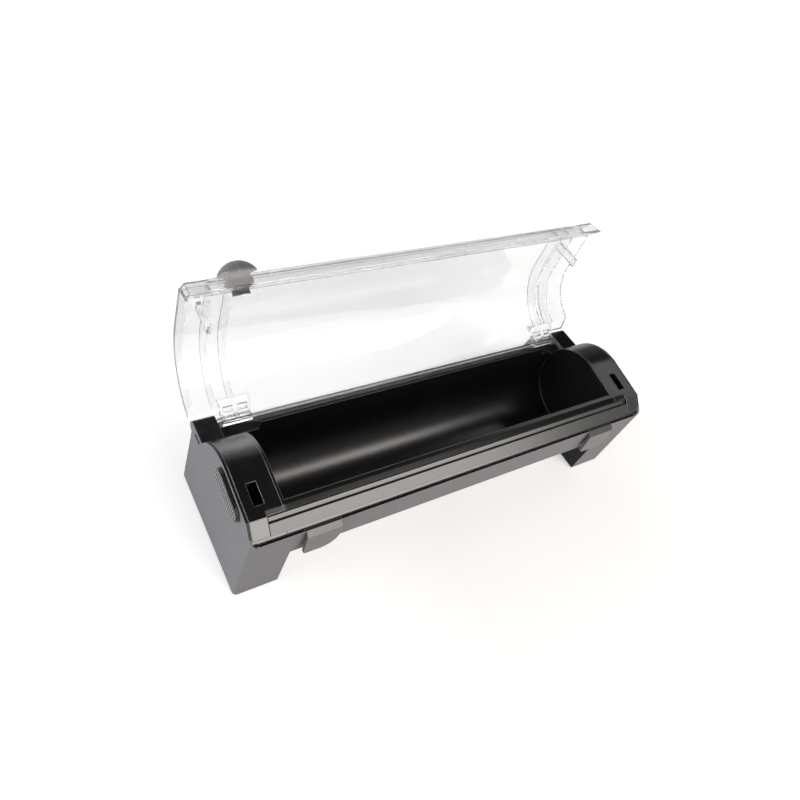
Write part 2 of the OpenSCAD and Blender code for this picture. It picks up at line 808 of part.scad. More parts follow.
// Cutter, on its axis in the channel
module cutter_frame() { place() lid_open() rail_frame() translate([cutter_x, 0, 0]) children(); }
module cutter_knob() {
    color("#50504c") cutter_frame() difference() {
        union() {
            translate([0, 0, dome_s]) rotate_extrude() intersection() {
                union() {
                    translate([0, dome_h - dome_sphere]) circle(dome_sphere);
                    square([dome_r, dome_rim]);
                }
                square([dome_r, dome_h]);
            }
            translate([-knob_neck_w / 2, -neck_t / 2, carriage_s[1]])
                cube([knob_neck_w, neck_t, dome_s - carriage_s[1] + dome_rim]);
        }
        translate([cutter_screw_x, 0, 0]) cylinder(h = cutter_screw_top + seam, r = cutter_screw_r + fit);
    }
}
module cutter_carriage() {
    color("#40403c") cutter_frame() difference() {
        translate([-carriage_len / 2, -carriage_t, carriage_s[0]])
            cube([carriage_len, 2 * carriage_t, carriage_s[1] - carriage_s[0]]);
        translate([cutter_screw_x, 0, 0]) cylinder(h = dome_s, r = cutter_screw_r + fit);
    }
}
module blade_holder() {
    color("#303030") cutter_frame() difference() {
        union() {
            intersection() {
                translate([0, 0, foot_s[0]]) cylinder(h = foot_s[1] - foot_s[0], r = foot_r);
                translate([-far, -far, 0]) cube([2 * far, far + foot_rear, far]);
            }
            translate([-foot_r + 0.4, -neck_t / 2, foot_s[1] - 0.5])
                cube([2 * foot_r - 0.8, neck_t, carriage_s[0] - foot_s[1] + 0.5]);
        }
        translate([cutter_screw_x, 0, 0]) cylinder(h = dome_s, r = cutter_screw_r + fit);
        translate([cutter_screw_x, 0, 0]) cylinder(h = foot_s[0] + 1, r = cutter_screw_head + fit);
        translate([blade_x[0] - fit, -blade_t / 2 - fit, 0])
            cube([blade_x[1] - blade_x[0] + 2 * fit, blade_t + 2 * fit, carriage_s[0] - 0.6]);
    }
}
module cutter_blade() {
    top = carriage_s[0] - 0.6 - fit;
    color("silver") cutter_frame() translate([0, blade_t / 2, 0]) rotate([90, 0, 0]) linear_extrude(blade_t) polygon([
        [blade_x[0], top], [blade_x[1], top], [blade_x[1], 0], [(blade_x[0] + blade_x[1]) / 2, -blade_reach],
        [blade_x[0], 0]
    ]);
}
module cutter_screw() {
    color("silver") cutter_frame() translate([cutter_screw_x, 0, 0]) {
        translate([0, 0, foot_s[0] + fit]) cylinder(h = 1 - fit, r = cutter_screw_head);
        translate([0, 0, foot_s[0] + 0.5]) cylinder(h = cutter_screw_top - foot_s[0] - 0.5, r = cutter_screw_r);
    }
}

// Latches
module latch_block(x0, x1, u, w) {
    translate([x0, u[0], w[0]]) cube([x1 - x0, u[1] - u[0], w[1] - w[0]]);
}
module button_lip(x0, x1) {
    intersection() {
        slope_frame() latch_block(x0, x1, [button_u - lip_front, button_u + button_len + lip_rear],
            [button_w - lip_rear, button_w + button_h]);
        along_x(x0 - trim, x1 + trim) crown(-wall - seam);
    }
}
module release_button() {
    lip_x = insert_half - button_lip_t;
    slot_half_t = plate_t / 2 + fit;
    color("gray") difference() {
        union() {
            button_lip(lip_x, insert_half);
            slope_frame() {
                along_x(insert_half, half + button_out) stadium(button_u, button_w, button_len, button_h);
                latch_block(lip_x - socket_len, lip_x, [plate_u[0] + 1.5, plate_u[1] - 1.5],
                    [plate_w - socket_wall - plate_t / 2, plate_w + socket_wall + plate_t / 2]);
            }
        }
        slope_frame() latch_block(lip_x - socket_len - 1, lip_x, plate_u,
            [plate_w - slot_half_t, plate_w + slot_half_t]);
    }
}
module latch_plate() {
    color("gainsboro") slope_frame() difference() {
        union() {
            latch_block(plate_in, plate_out, plate_u, [plate_w - plate_t / 2, plate_w + plate_t / 2]);
            translate([0, spring_u, plate_w]) cylinder_x(plate_in - peg_len, plate_in + peg_r, peg_r);
        }
        latch_block(window_in, window_out, window_u, [-far, far]);
        translate([plate_in, spring_u - 2 * peg_r, plate_w + plate_t / 2]) cube([2 * peg_r, 4 * peg_r, peg_r]);
        translate([plate_in, spring_u - 2 * peg_r, plate_w - plate_t / 2 - peg_r]) cube([2 * peg_r, 4 * peg_r, peg_r]);
    }
}
module button_spring() {
    color("silver") slope_frame() translate([0, spring_u, plate_w]) difference() {
        cylinder_x(open_half + wall, plate_in, spring_r);
        cylinder_x(open_half, plate_in + 1, spring_bore);
    }
}
module release_button_left() { place() left_hand() release_button(); }
module release_button_right() { place() release_button(); }
module latch_plate_left() { place() left_hand() latch_plate(); }
module latch_plate_right() { place() latch_plate(); }
module button_spring_left() { place() left_hand() button_spring(); }
module button_spring_right() { place() button_spring(); }

lower_shell();
trough_insert();
end_band_left();
end_band_right();
cutting_rail();
front_tab_left();
front_tab_right();
hinge_pin_left();
hinge_pin_right();
insert_screws();
foot_pads();
lid();
cutter_knob();
cutter_carriage();
blade_holder();
cutter_blade();
cutter_screw();
release_button_left();
release_button_right();
latch_plate_left();
latch_plate_right();
button_spring_left();
button_spring_right();
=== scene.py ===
# %% [markdown]
# This lesson dresses a counter dispenser for rolls of bag film: a black casing on two legs, a half-round trough,
# a clear lid with a sliding cutter and a knurled button on each end. The solid shapes come ready made, in metres,
# so the work here is light, finish and the fine forms that a solid modeller leaves plain.

# %% Load the solids
import math
import bpy
from mathutils import Matrix, Vector


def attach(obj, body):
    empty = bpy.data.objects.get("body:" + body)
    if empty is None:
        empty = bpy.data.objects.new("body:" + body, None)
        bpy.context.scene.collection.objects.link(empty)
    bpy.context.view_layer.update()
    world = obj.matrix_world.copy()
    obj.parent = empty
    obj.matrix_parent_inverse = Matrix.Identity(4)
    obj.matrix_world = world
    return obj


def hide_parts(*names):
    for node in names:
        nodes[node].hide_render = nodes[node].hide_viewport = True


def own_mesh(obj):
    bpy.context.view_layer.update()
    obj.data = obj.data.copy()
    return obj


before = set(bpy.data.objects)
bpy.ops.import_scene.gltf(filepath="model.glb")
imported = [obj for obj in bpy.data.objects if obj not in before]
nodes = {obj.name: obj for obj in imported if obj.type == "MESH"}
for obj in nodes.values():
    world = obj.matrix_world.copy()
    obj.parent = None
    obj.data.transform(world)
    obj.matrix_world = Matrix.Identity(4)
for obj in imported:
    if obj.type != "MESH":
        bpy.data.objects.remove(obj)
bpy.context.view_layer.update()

# %% [markdown]
# The photograph looks down on the left front corner, and the camera was turned about its own axis when it was taken.
# Three unit vectors say this more safely than Euler angles: they become the columns of the camera's matrix. The lens
# axis doesn't meet the middle of the picture, so the remainder goes into the shift.

# %% Camera
picture = 800
focal_px = 729.2
axis_px = (390.6, 347.1)
right = Vector((0.841807, -0.475411, 0.255628))
up = Vector((0.188955, 0.703157, 0.685468))
back = Vector((-0.505626, -0.528729, 0.681754))
eye = Vector((-0.311176, -0.266904, 0.491564))

lens = bpy.data.cameras.new("photo_camera")
lens.sensor_width = 36
lens.lens = focal_px * lens.sensor_width / picture
lens.shift_x = (picture / 2 - axis_px[0]) / picture
lens.shift_y = (axis_px[1] - picture / 2) / picture
lens.clip_start = 0.01
camera = bpy.data.objects.new("photo_camera", lens)
bpy.context.scene.collection.objects.link(camera)
turn = Matrix((right, up, back)).transposed().to_4x4()
camera.matrix_world = Matrix.Translation(eye) @ turn
bpy.context.scene.camera = camera
bpy.context.scene.view_settings.view_transform = "Standard"
print("camera lens", round(lens.lens, 2), "shift", round(lens.shift_x, 4), round(lens.shift_y, 4))

# %% [markdown]
# Shader graphs are easier to read as sums. A Wire stands for one output socket; adding, taking away, multiplying or
# comparing wires places the Math node for it. Every other node comes from one method, which sets the node's options
# first and then fills or links its sockets. Three short methods name the nodes that come up most often: a fade from one
# value to another, one part of a vector, and a question about the ray that is being traced.


# %% A socket that does sums
class Wire:
    def __init__(self, tree, socket=None):
        self.tree = tree
        self.socket = socket

    def node(self, kind, settings=None, inputs=None, out=0):
        made = self.tree.nodes.new(kind)
        for key, value in (settings or {}).items():
            if key == "stops":
                ramp = made.color_ramp
                while len(ramp.elements) < len(value):
                    ramp.elements.new(0.5)
                for element, (place, colour) in zip(ramp.elements, value):
                    element.position = place
                    element.color = colour
            else:
                setattr(made, key, value)
        for key, value in (inputs or {}).items():
            if isinstance(value, Wire):
                self.tree.links.new(value.socket, made.inputs[key])
            else:
                made.inputs[key].default_value = value
        return Wire(self.tree, made.outputs[out] if len(made.outputs) else None)

    def fade(self, start, end, first=0.0, last=1.0):
        return self.node("ShaderNodeMapRange", inputs={
            "Value": self, "From Min": start, "From Max": end, "To Min": first, "To Max": last})

    def part(self, axis):
        return self.node("ShaderNodeSeparateXYZ", inputs={0: self}, out=axis)

    def ray(self, kind):
        return self.node("ShaderNodeLightPath", out=kind)

    def maths(self, operation, first, second=0.0):
        return self.node("ShaderNodeMath", {"operation": operation}, {0: first, 1: second})

    def either(self, other):
        return self.maths("MAXIMUM", self, other)

    def __abs__(self):
        return self.maths("ABSOLUTE", self)

    def __add__(self, other):
        return self.maths("ADD", self, other)

    __radd__ = __add__

    def __sub__(self, other):
        return self.maths("SUBTRACT", self, other)

    def __rsub__(self, other):
        return self.maths("SUBTRACT", other, self)

    def __mul__(self, other):
        return self.maths("MULTIPLY", self, other)

    __rmul__ = __mul__

    def __gt__(self, other):
        return self.maths("GREATER_THAN", self, other)

    def __lt__(self, other):
        return self.maths("LESS_THAN", self, other)

    def feed(self, shader, socket):
        self.tree.links.new(self.socket, shader.inputs[socket])


def grey(value, warm=0.0):
    return (value * (1 + warm), value, value * (1 - warm), 1)


def blend(pen, amount, low, high):
    return pen.node("ShaderNodeMix", {"data_type": "RGBA"}, {0: amount, 6: low, 7: high}, out=2)


print("wire class ready")

# %% [markdown]
# The studio floor is white. To the camera and to rays that leave glossy or clear surfaces it adds a little light of its
# own. There is more of it further from a spot in front of the casing, where the lamps fade, so the floor reads white
# and the soft shadow stays on that spot. A ray that was mirrored before it went through the lid gets a little less.

# %% Floor
shadow_spot = (0.08, -0.13, 0)
glossy_loss = 0.3


def through_clear(pen):
    after_gloss = pen.ray("Glossy Depth") > 0.5
    return (1 - glossy_loss * after_gloss) * pen.ray("Is Transmission Ray")


bpy.ops.object.select_all(action="DESELECT")
bpy.ops.mesh.primitive_plane_add(size=8, location=(0, 0, 0))
floor = bpy.context.object
floor.name = "studio_floor"
floor_paint = bpy.data.materials.new("white_floor")
floor_paint.use_nodes = True
floor_paint.node_tree.nodes.clear()
pen = Wire(floor_paint.node_tree)
ground = pen.node("ShaderNodeTexCoord", out="Object")
reach = pen.node("ShaderNodeVectorMath", {"operation": "DISTANCE"}, {0: ground, 1: shadow_spot}, out="Value")
to_camera = 0.36 + 0.3 * reach.fade(0.10, 0.42) + 0.34 * reach.fade(0.6, 2.0)
to_gloss = 0.25
to_clear = 0.33 + 0.34 * reach.fade(0.35, 0.9)
own_light = to_camera * pen.ray("Is Camera Ray")
own_light += to_gloss * pen.ray("Is Glossy Ray")
own_light += to_clear * through_clear(pen)
matt = pen.node("ShaderNodeBsdfDiffuse", inputs={"Color": grey(0.8, 0.012)})
glow = pen.node("ShaderNodeEmission", inputs={"Color": grey(1.0), "Strength": own_light})
both = pen.node("ShaderNodeAddShader", inputs={0: matt, 1: glow})
pen.node("ShaderNodeOutputMaterial", inputs={"Surface": both})
floor.data.materials.append(floor_paint)
print("floor ready")

# %% [markdown]
# The sky is white near the horizon and dark overhead, which is why the flat top of the casing stays black while its
# sides turn grey. It is dimmer on the right and behind. The camera, and whoever looks through the clear lid, sees it
# plain white.

# %% Sky
sky_stops = [(0.0, grey(1.0)), (0.32, grey(1.0)), (0.56, grey(0.07)), (1.0, grey(0.04))]

sky = bpy.data.worlds.new("studio_sky")
bpy.context.scene.world = sky
sky.use_nodes = True
sky.node_tree.nodes.clear()
pen = Wire(sky.node_tree)
heading = pen.node("ShaderNodeTexCoord", out="Generated")
right_dim = heading.part("X").fade(0.3, 0.65, 1.0, 0.28)
back_dim = heading.part("Y").fade(0.1, 0.7, 1.0, 0.55)
bright = pen.node("ShaderNodeValToRGB", {"stops": sky_stops}, {"Fac": heading.part("Z")})
plain = pen.ray("Is Camera Ray").either(through_clear(pen))
colour = blend(pen, plain, bright, grey(1.0))
level = (right_dim * back_dim).either(plain)
light = pen.node("ShaderNodeBackground", inputs={"Color": colour, "Strength": level})
pen.node("ShaderNodeOutputWorld", inputs={"Surface": light})
print("sky ready")

# %% [markdown]
# One large soft box stands in front, a little to the right: its mirror image is the pale gleam on the rail bevel and
# the stripe along the trough, and both fade towards the right end where the box stops. A box on the left lifts the end
# face, and a faint one stands high on the right. The box behind the casing only fills: it is hidden from reflections.


# %% Lights
def soft_box(name, place, target, size, power, tint):
    data = bpy.data.lights.new(name, "AREA")
    data.shape = "RECTANGLE"
    data.size, data.size_y = size
    data.energy = power
    data.color = tint
    lamp = bpy.data.objects.new(name, data)
    bpy.context.scene.collection.objects.link(lamp)
    lamp.location = place
    lamp.rotation_euler = (Vector(target) - Vector(place)).to_track_quat("-Z", "Y").to_euler()
    return lamp


soft_box("front_box", place=(0.31, -0.95, 0.76), target=(0, -0.03, 0.08), size=(1.02, 0.90), power=13.2,
         tint=(1.0, 0.958, 0.905))
soft_box("left_box", place=(-1.30, 0.10, 0.30), target=(-0.1, 0, 0.05), size=(0.9, 0.5), power=11.0,
         tint=(0.95, 0.965, 1.0))
back_box = soft_box("back_box", place=(0.05, 1.60, 0.45), target=(0, 0, 0.08), size=(2.0, 0.8), power=5.5,
                    tint=(1.0, 1.0, 1.0))
back_box.visible_glossy = False
soft_box("right_box", place=(1.30, 0.15, 1.25), target=(0.1, 0, 0.08), size=(0.5, 0.5), power=0.8,
         tint=(1.0, 0.98, 0.97))
print("lights ready")

# %% [markdown]
# A finish starts from the Principled shader. Constant values go on its own sockets; whatever changes over the
# surface is wired to colour, roughness or the bump. A Bevel node under the bump rounds each hard edge by a fraction
# of a millimetre, which is what makes a moulded edge catch a line of light. Where that rounded normal leaves the flat
# one, the same comparison gives a mask of edges, along which a paler colour is painted on as a painted highlight.

# %% Tools for finishes
edge_begins = 0.985
edge_full = 0.85


def new_finish(name, **sockets):
    paint = bpy.data.materials.new(name)
    paint.use_nodes = True
    shader = paint.node_tree.nodes["Principled BSDF"]
    for key, value in sockets.items():
        shader.inputs[key.replace("_", " ")].default_value = value
    return paint, shader, Wire(paint.node_tree)


def noise(pen, scale, detail=2.0, stretch=(1, 1, 1)):
    place = pen.node("ShaderNodeTexCoord", out="Object")
    if stretch != (1, 1, 1):
        place = pen.node("ShaderNodeMapping", inputs={"Vector": place, "Scale": stretch})
    return pen.node("ShaderNodeTexNoise", inputs={"Vector": place, "Scale": scale, "Detail": detail})


def axes(pen, wanted="XYZ"):
    place = pen.node("ShaderNodeTexCoord", out="Object")
    return [place.part(axis) for axis in wanted]


def facing_up(pen):
    return pen.node("ShaderNodeNewGeometry", out="Normal").part("Z")


# painted highlight mask: where the rounded normal leaves the flat one
def painted_edge_highlight(pen, width):
    rounded = pen.node("ShaderNodeBevel", {"samples": 6}, {"Radius": width})
    flat = pen.node("ShaderNodeNewGeometry", out="Normal")
    agree = pen.node("ShaderNodeVectorMath", {"operation": "DOT_PRODUCT"}, {0: rounded, 1: flat}, out="Value")
    return agree.fade(edge_begins, edge_full)


def relief(pen, shader, height, depth, strength=1.0, edge=0.0003):
    rounded = pen.node("ShaderNodeBevel", {"samples": 4}, {"Radius": edge})
    bump = pen.node("ShaderNodeBump", inputs={
        "Height": height, "Distance": depth, "Strength": strength, "Normal": rounded})
    bump.feed(shader, "Normal")


def wear(node_names, paint):
    for name in node_names:
        nodes[name].data.materials.clear()
        nodes[name].data.materials.append(paint)
    print(paint.name, "on", ", ".join(node_names))


print("finish tools ready")

# %% [markdown]
# The casing is black plastic from a mould, with a fine grain and a slight cloudiness made by two noises. Its side
# faces are painted mid grey, a painted light standing in for the sheen the lamps give them. The lug tops, the rims, the
# shelf on top of the skirt and the inside of the legs are painted nearly black instead, a painted shade where they face
# the dark sky or lie under the body, and they are smoother. Object coordinates say which faces get the painted shade.

# %% Casing finish
top_half_width = 0.1797
top_above = 0.0718
top_behind = -0.0714
leg_half_width = 0.1475
leg_below = 0.0470
shelf_half_width = 0.1765
shelf_above = 0.07405

shell_paint, shader, pen = new_finish("grained_black_plastic", IOR=1.5, Specular_IOR_Level=0.22)
cloud = noise(pen, 45, 4)
grain = noise(pen, 1500, 3)
x, y, z = axes(pen)
width = abs(x)
# painted shade: lug tops, rims, shelf and inner legs are painted nearly black; these faces are also smoother
shaded_polished_top = (width < top_half_width) * (z > top_above) * (y > top_behind)
shaded_polished_leg = (width < leg_half_width) * (z < leg_below)
shaded_polished_shelf = (width < shelf_half_width) * (z > shelf_above)
shaded_polished = shaded_polished_top.either(shaded_polished_leg).either(shaded_polished_shelf)
# painted light: the side faces are painted mid grey, far paler than the black plastic itself
sides = blend(pen, cloud, (0.146, 0.142, 0.152, 1), (0.188, 0.183, 0.194, 1))
faces = blend(pen, shaded_polished, sides, (0.006, 0.0057, 0.0063, 1))
# painted highlight: a pale grey is laid along the casing's edges
blend(pen, painted_edge_highlight(pen, 0.0005), faces, (0.45, 0.445, 0.45, 1)).feed(shader, "Base Color")
(0.46 - shaded_polished * 0.26 + cloud * 0.10 + grain * 0.06).feed(shader, "Roughness")
relief(pen, shader, grain, depth=0.00006, strength=0.6, edge=0.0005)
wear(["lower_shell"], shell_paint)

# %% [markdown]
# The insert comes from a smoother mould. It is a deeper black with a satin sheen, so its curved trough draws the soft
# box out into one long stripe. The apron behind the trough and the chamfer beside the rail have to stay darker than
# that sheen would leave them, so a matt black is mixed in there.

# %% Insert finish
apron_behind = 0.01
apron_above = 0.066
apron_below = 0.0785
chamfer_half_width = 0.1513
chamfer_before = -0.0592
chamfer_above = 0.0866

insert_paint, shader, pen = new_finish("satin_black_plastic", IOR=1.6, Specular_IOR_Level=0.9)
cloud = noise(pen, 30, 4)
grain = noise(pen, 2200, 2)
black = blend(pen, cloud, (0.0030, 0.0028, 0.0028, 1), (0.0050, 0.0047, 0.0046, 1))
# painted highlight: a pale grey is laid along the insert's edges
blend(pen, painted_edge_highlight(pen, 0.0004), black, (0.22, 0.215, 0.21, 1)).feed(shader, "Base Color")
x, y, z = axes(pen)
apron = (facing_up(pen) > 0.5) * (y > apron_behind) * (z > apron_above) * (z < apron_below)
chamfer = (abs(x) < chamfer_half_width) * (y < chamfer_before) * (z > chamfer_above)
(0.24 + apron * 0.4 + cloud * 0.02 + grain * 0.02).feed(shader, "Roughness")
matt = pen.node("ShaderNodeBsdfDiffuse", inputs={"Color": grey(0.006)})
gloss = Wire(pen.tree, shader.outputs["BSDF"])
both = pen.node("ShaderNodeMixShader", inputs={0: apron * 0.75 + chamfer * 0.7, 1: gloss, 2: matt})
both.feed(pen.tree.nodes["Material Output"], "Surface")
relief(pen, shader, grain, depth=0.00003, strength=0.35, edge=0.0009)
wear(["trough_insert", "end_band_left", "end_band_right"], insert_paint)

# %% [markdown]
# The rail is an extruded strip, so its grain runs lengthwise: the noise is stretched along X. Its bevel lies at 45
# degrees, so z - y says how far a point is from the face, and whatever is below it, such as the blade groove, is
# painted near black as a painted shade and made rough. The front tabs are a slightly glossier black than the casing;
# their fronts are painted grey as a painted light, and their slanted tops are painted darker as a painted shade.

# %% Rail and tab finishes
rail_face = 0.107127
rail_slack = 0.00012

rail_paint, shader, pen = new_finish("satin_rail_strip", IOR=1.52, Specular_IOR_Level=0.9)
streak = noise(pen, 60, 3, (0.4, 24, 24))
grain = noise(pen, 1800, 2)
y, z = axes(pen, "YZ")
# painted shade: below the bevel face, as in the blade groove, the rail is painted near black
shaded_below_face = (z - y) * math.sqrt(0.5) < rail_face - rail_slack
strip = blend(pen, streak, (0.024, 0.0235, 0.022, 1), (0.030, 0.029, 0.027, 1))
blend(pen, shaded_below_face, strip, (0.003, 0.0028, 0.0026, 1)).feed(shader, "Base Color")
(0.24 + streak * 0.05 + shaded_below_face * 0.7).feed(shader, "Roughness")
relief(pen, shader, streak * 0.6 + grain * 0.4, depth=0.00003, strength=0.2, edge=0.0004)
wear(["cutting_rail"], rail_paint)

tab_paint, shader, pen = new_finish("tab_black_plastic", IOR=1.5, Specular_IOR_Level=0.9)
cloud = noise(pen, 80, 3)
grain = noise(pen, 1600, 3)
shaded_slanted_top = facing_up(pen) > 0.4
# painted light: the tab fronts are painted a lit grey
black = blend(pen, cloud, (0.078, 0.076, 0.074, 1), (0.098, 0.096, 0.093, 1))
# painted shade: the upward slanted tops are painted darker
black = blend(pen, shaded_slanted_top, black, (0.026, 0.0255, 0.024, 1))
# painted highlight: a pale grey is laid along the tabs' edges
blend(pen, painted_edge_highlight(pen, 0.0004) * 0.5, black, (0.25, 0.245, 0.24, 1)).feed(shader, "Base Color")
(0.26 + cloud * 0.08).feed(shader, "Roughness")
relief(pen, shader, grain, depth=0.00004, strength=0.3)
wear(["front_tab_left", "front_tab_right"], tab_paint)

# %% [markdown]
# The lid is clear polycarbonate. Real refraction through the solid wall gives the thin grey edge lines for free, and
# the alpha lets part of the light straight through, which keeps those lines as pale as thin moulded walls show them.
# A trace of waviness in the normal keeps the big faces from looking like window glass.

# %% Clear lid finish
lid_paint, shader, pen = new_finish(
    "clear_lid_plastic", IOR=1.49, Transmission_Weight=1.0, Base_Color=(0.985, 0.99, 1.0, 1), Alpha=0.88)
wave = noise(pen, 9, 2)
smear = noise(pen, 120, 4)
(smear * 0.03).feed(shader, "Roughness")
bump = pen.node("ShaderNodeBump", inputs={"Height": wave, "Distance": 0.0004, "Strength": 0.25})
bump.feed(shader, "Normal")
wear(["lid"], lid_paint)

# %% [markdown]
# The cutter slides in the lid's front channel. Its knob is smoky plastic, with two thin paler lines painted across
# the dome and a small dark dot painted on the neck below each line. Lines and dots are thinner than a pixel, so they
# are drawn by the finish. Its pattern is measured along the cutter's own axis, a dot product with the direction in
# which the knob points.

# %% Knob finish
cutter_x = -0.1445
cutter_axis = (0, 0.7716, 0.6361)
rail_level = 0.147624
neck_top = 0.0148
dot_level = 0.0132
dot_radius = 0.0005
pale_line_places = (-0.0025, 0.0036)
pale_line_half_width = 0.0004

smoke_paint, shader, pen = new_finish("smoky_knob_plastic", IOR=1.5, Transmission_Weight=0.25)
cloud = noise(pen, 160, 3)
place = pen.node("ShaderNodeTexCoord", out="Object")
across = place.part("X") - cutter_x
along = pen.node("ShaderNodeVectorMath", {"operation": "DOT_PRODUCT"}, {0: place, 1: cutter_axis}, out="Value")
height = along - rail_level
smoke = blend(pen, cloud, (0.215, 0.220, 0.236, 1), (0.262, 0.267, 0.285, 1))
neck = blend(pen, cloud, (0.50, 0.484, 0.458, 1), (0.62, 0.60, 0.572, 1))
# paler lines are painted across the dome, with a dark dot on the neck under each line
for line_place in pale_line_places:
    offset = across - line_place
    level = height - dot_level
    line = abs(offset) < pale_line_half_width
    dark_dot = (offset * offset + level * level) < dot_radius ** 2
    smoke = blend(pen, line * 0.7, smoke, (0.36, 0.36, 0.37, 1))
    neck = blend(pen, dark_dot, neck, (0.02, 0.018, 0.016, 1))
blend(pen, height < neck_top, smoke, neck).feed(shader, "Base Color")
(0.16 + cloud * 0.12).feed(shader, "Roughness")
relief(pen, shader, cloud, depth=0.00002, strength=0.2, edge=0.0004)
wear(["cutter_knob"], smoke_paint)

# %% [markdown]
# Four plain plastics differ only in their numbers, so one function makes them: a cloud between two tones, a roughness
# that follows the cloud, and a fine grain. The carriage is a brownish grey and the cutter's foot nearly black. Behind
# each hook slot sits a polished black latch plate, of which only a glint shows. The pads are matte rubber.


# %% Finishes of the plain plastics
def plain_plastic(name, dark, pale, cloud, rough, grain, depth, strength, edge):
    paint, shader, pen = new_finish(name, IOR=1.5)
    mottle = noise(pen, *cloud)
    blend(pen, mottle, (*dark, 1), (*pale, 1)).feed(shader, "Base Color")
    (rough[0] + mottle * rough[1]).feed(shader, "Roughness")
    relief(pen, shader, noise(pen, *grain), depth, strength, edge)
    return paint


carriage_paint = plain_plastic(
    "brown_grey_plastic", dark=(0.26, 0.246, 0.23), pale=(0.34, 0.322, 0.304), cloud=(220, 3), rough=(0.32, 0.12),
    grain=(2000, 2), depth=0.00003, strength=0.4, edge=0.0002)
foot_paint = plain_plastic(
    "black_cutter_plastic", dark=(0.030, 0.026, 0.024), pale=(0.052, 0.045, 0.041), cloud=(300, 3), rough=(0.34, 0.12),
    grain=(2000, 2), depth=0.00003, strength=0.4, edge=0.0005)
latch_paint = plain_plastic(
    "polished_latch_plastic", dark=(0.010, 0.010, 0.010), pale=(0.018, 0.0175, 0.017), cloud=(150, 3),
    rough=(0.12, 0.10), grain=(1500, 2), depth=0.00003, strength=0.2, edge=0.0004)
rubber_paint = plain_plastic(
    "pad_rubber", dark=(0.016, 0.016, 0.016), pale=(0.030, 0.030, 0.029), cloud=(250, 4), rough=(0.72, 0.2),
    grain=(1200, 3), depth=0.00008, strength=0.5, edge=0.0003)
wear(["cutter_carriage"], carriage_paint)
wear(["blade_holder"], foot_paint)
wear(["latch_plate_left", "latch_plate_right"], latch_paint)

# %% [markdown]
# Pins, screws, blade and springs are steel: the noise is stretched along X because wire is drawn in that direction.

# %% Steel finish
steel_paint, shader, pen = new_finish("drawn_steel", Metallic=1.0)
streak = noise(pen, 220, 4, (0.1, 1, 1))
blend(pen, streak, (0.50, 0.50, 0.51, 1), (0.68, 0.68, 0.69, 1)).feed(shader, "Base Color")
(0.22 + streak * 0.16).feed(shader, "Roughness")
relief(pen, shader, streak, depth=0.00002, strength=0.4, edge=0.0001)
wear(["hinge_pin_left", "hinge_pin_right", "cutter_blade", "cutter_screw"], steel_paint)

# %% [markdown]
# From here on new pieces are modelled. An operator acts on everything that is selected, and the solids come in
# selected, so each piece starts by clearing the selection. Faces and vertices are then picked by their place, and a
# finished piece has its turn and place applied, so that its object sits at the origin like the solids do.


# %% Tools for modelling
def only(piece):
    bpy.ops.object.select_all(action="DESELECT")
    piece.select_set(True)
    bpy.context.view_layer.objects.active = piece


def apply_place():
    bpy.ops.object.transform_apply(location=True, rotation=True, scale=True)


def start(primitive, **settings):
    bpy.ops.object.select_all(action="DESELECT")
    primitive(**settings)
    apply_place()
    return bpy.context.object


def move_to(piece, matrix):
    piece.matrix_world = matrix
    only(piece)
    apply_place()


def pick(piece, kind, test):
    only(piece)
    bpy.ops.object.mode_set(mode="EDIT")
    bpy.ops.mesh.select_mode(type=kind)
    bpy.ops.mesh.select_all(action="DESELECT")
    bpy.ops.object.mode_set(mode="OBJECT")
    for vertex in piece.data.vertices if kind == "VERT" else ():
        vertex.select = test(vertex.co)
    for face in piece.data.polygons if kind == "FACE" else ():
        face.select = test(face.center)
    bpy.ops.object.mode_set(mode="EDIT")


def edit_all(piece):
    only(piece)
    bpy.ops.object.mode_set(mode="EDIT")
    bpy.ops.mesh.select_all(action="SELECT")


def leave_edit():
    bpy.ops.object.mode_set(mode="OBJECT")


def face_outward():
    bpy.ops.mesh.select_all(action="SELECT")
    bpy.ops.mesh.normals_make_consistent(inside=False)
    leave_edit()


def extrude(height):
    bpy.ops.mesh.extrude_region_move(TRANSFORM_OT_translate={"value": (0, 0, height)})


def apply_modifier(piece, kind, **settings):
    only(piece)
    modifier = piece.modifiers.new(kind.lower(), kind)
    for key, value in settings.items():
        setattr(modifier, key, value)
    bpy.ops.object.modifier_apply(modifier=modifier.name)


def join(pieces):
    only(pieces[0])
    for piece in pieces[1:]:
        piece.select_set(True)
    bpy.ops.object.join()
    return pieces[0]


def set_of_four(make, half_span, rows, level, smooth_to):
    pieces = []
    for side in (-1, 1):
        for row in rows:
            piece = make()
            piece.location = (side * half_span, row, level)
            pieces.append(piece)
    whole = join(pieces)
    apply_place()
    bpy.ops.object.shade_smooth_by_angle(angle=math.radians(smooth_to))
    return whole


def settle(piece, name, paint, body, slot, *stands_for):
    piece.name = name
    piece.data.name = name
    piece.data.materials.clear()
    piece.data.materials.append(paint)
    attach(piece, body)
    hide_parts(*stands_for)
    print(name, len(piece.data.polygons), "faces, rides on", body)


print("modelling tools ready")

# %% [markdown]
# The release buttons sit on the end faces. They are placed in a frame of their own, which starts at the top of the
# front bevel and rises gently towards the back. Their finish is a grey painted paler on the tips of the knurl, a
# painted highlight, and painted nearly black in the valleys, a painted shade.

# %% Button sizes and finish
hands = (("left", -1), ("right", 1))
slope_start = (0, -0.063622, 0.087879)
slope_tilt = math.radians(9.5)
slope = Matrix.Translation(slope_start) @ Matrix.Rotation(slope_tilt, 4, "X")
button_long = 0.0380
button_tall = 0.0136
button_along = 0.0250
button_down = -0.0092
button_face = 0.1832
knurl_deep = 0.0006
knurl_cells = (19, 5)
knurl_cell = (0.0021, 0.0034)
tip_share = 0.58
pad_under = 0.0008

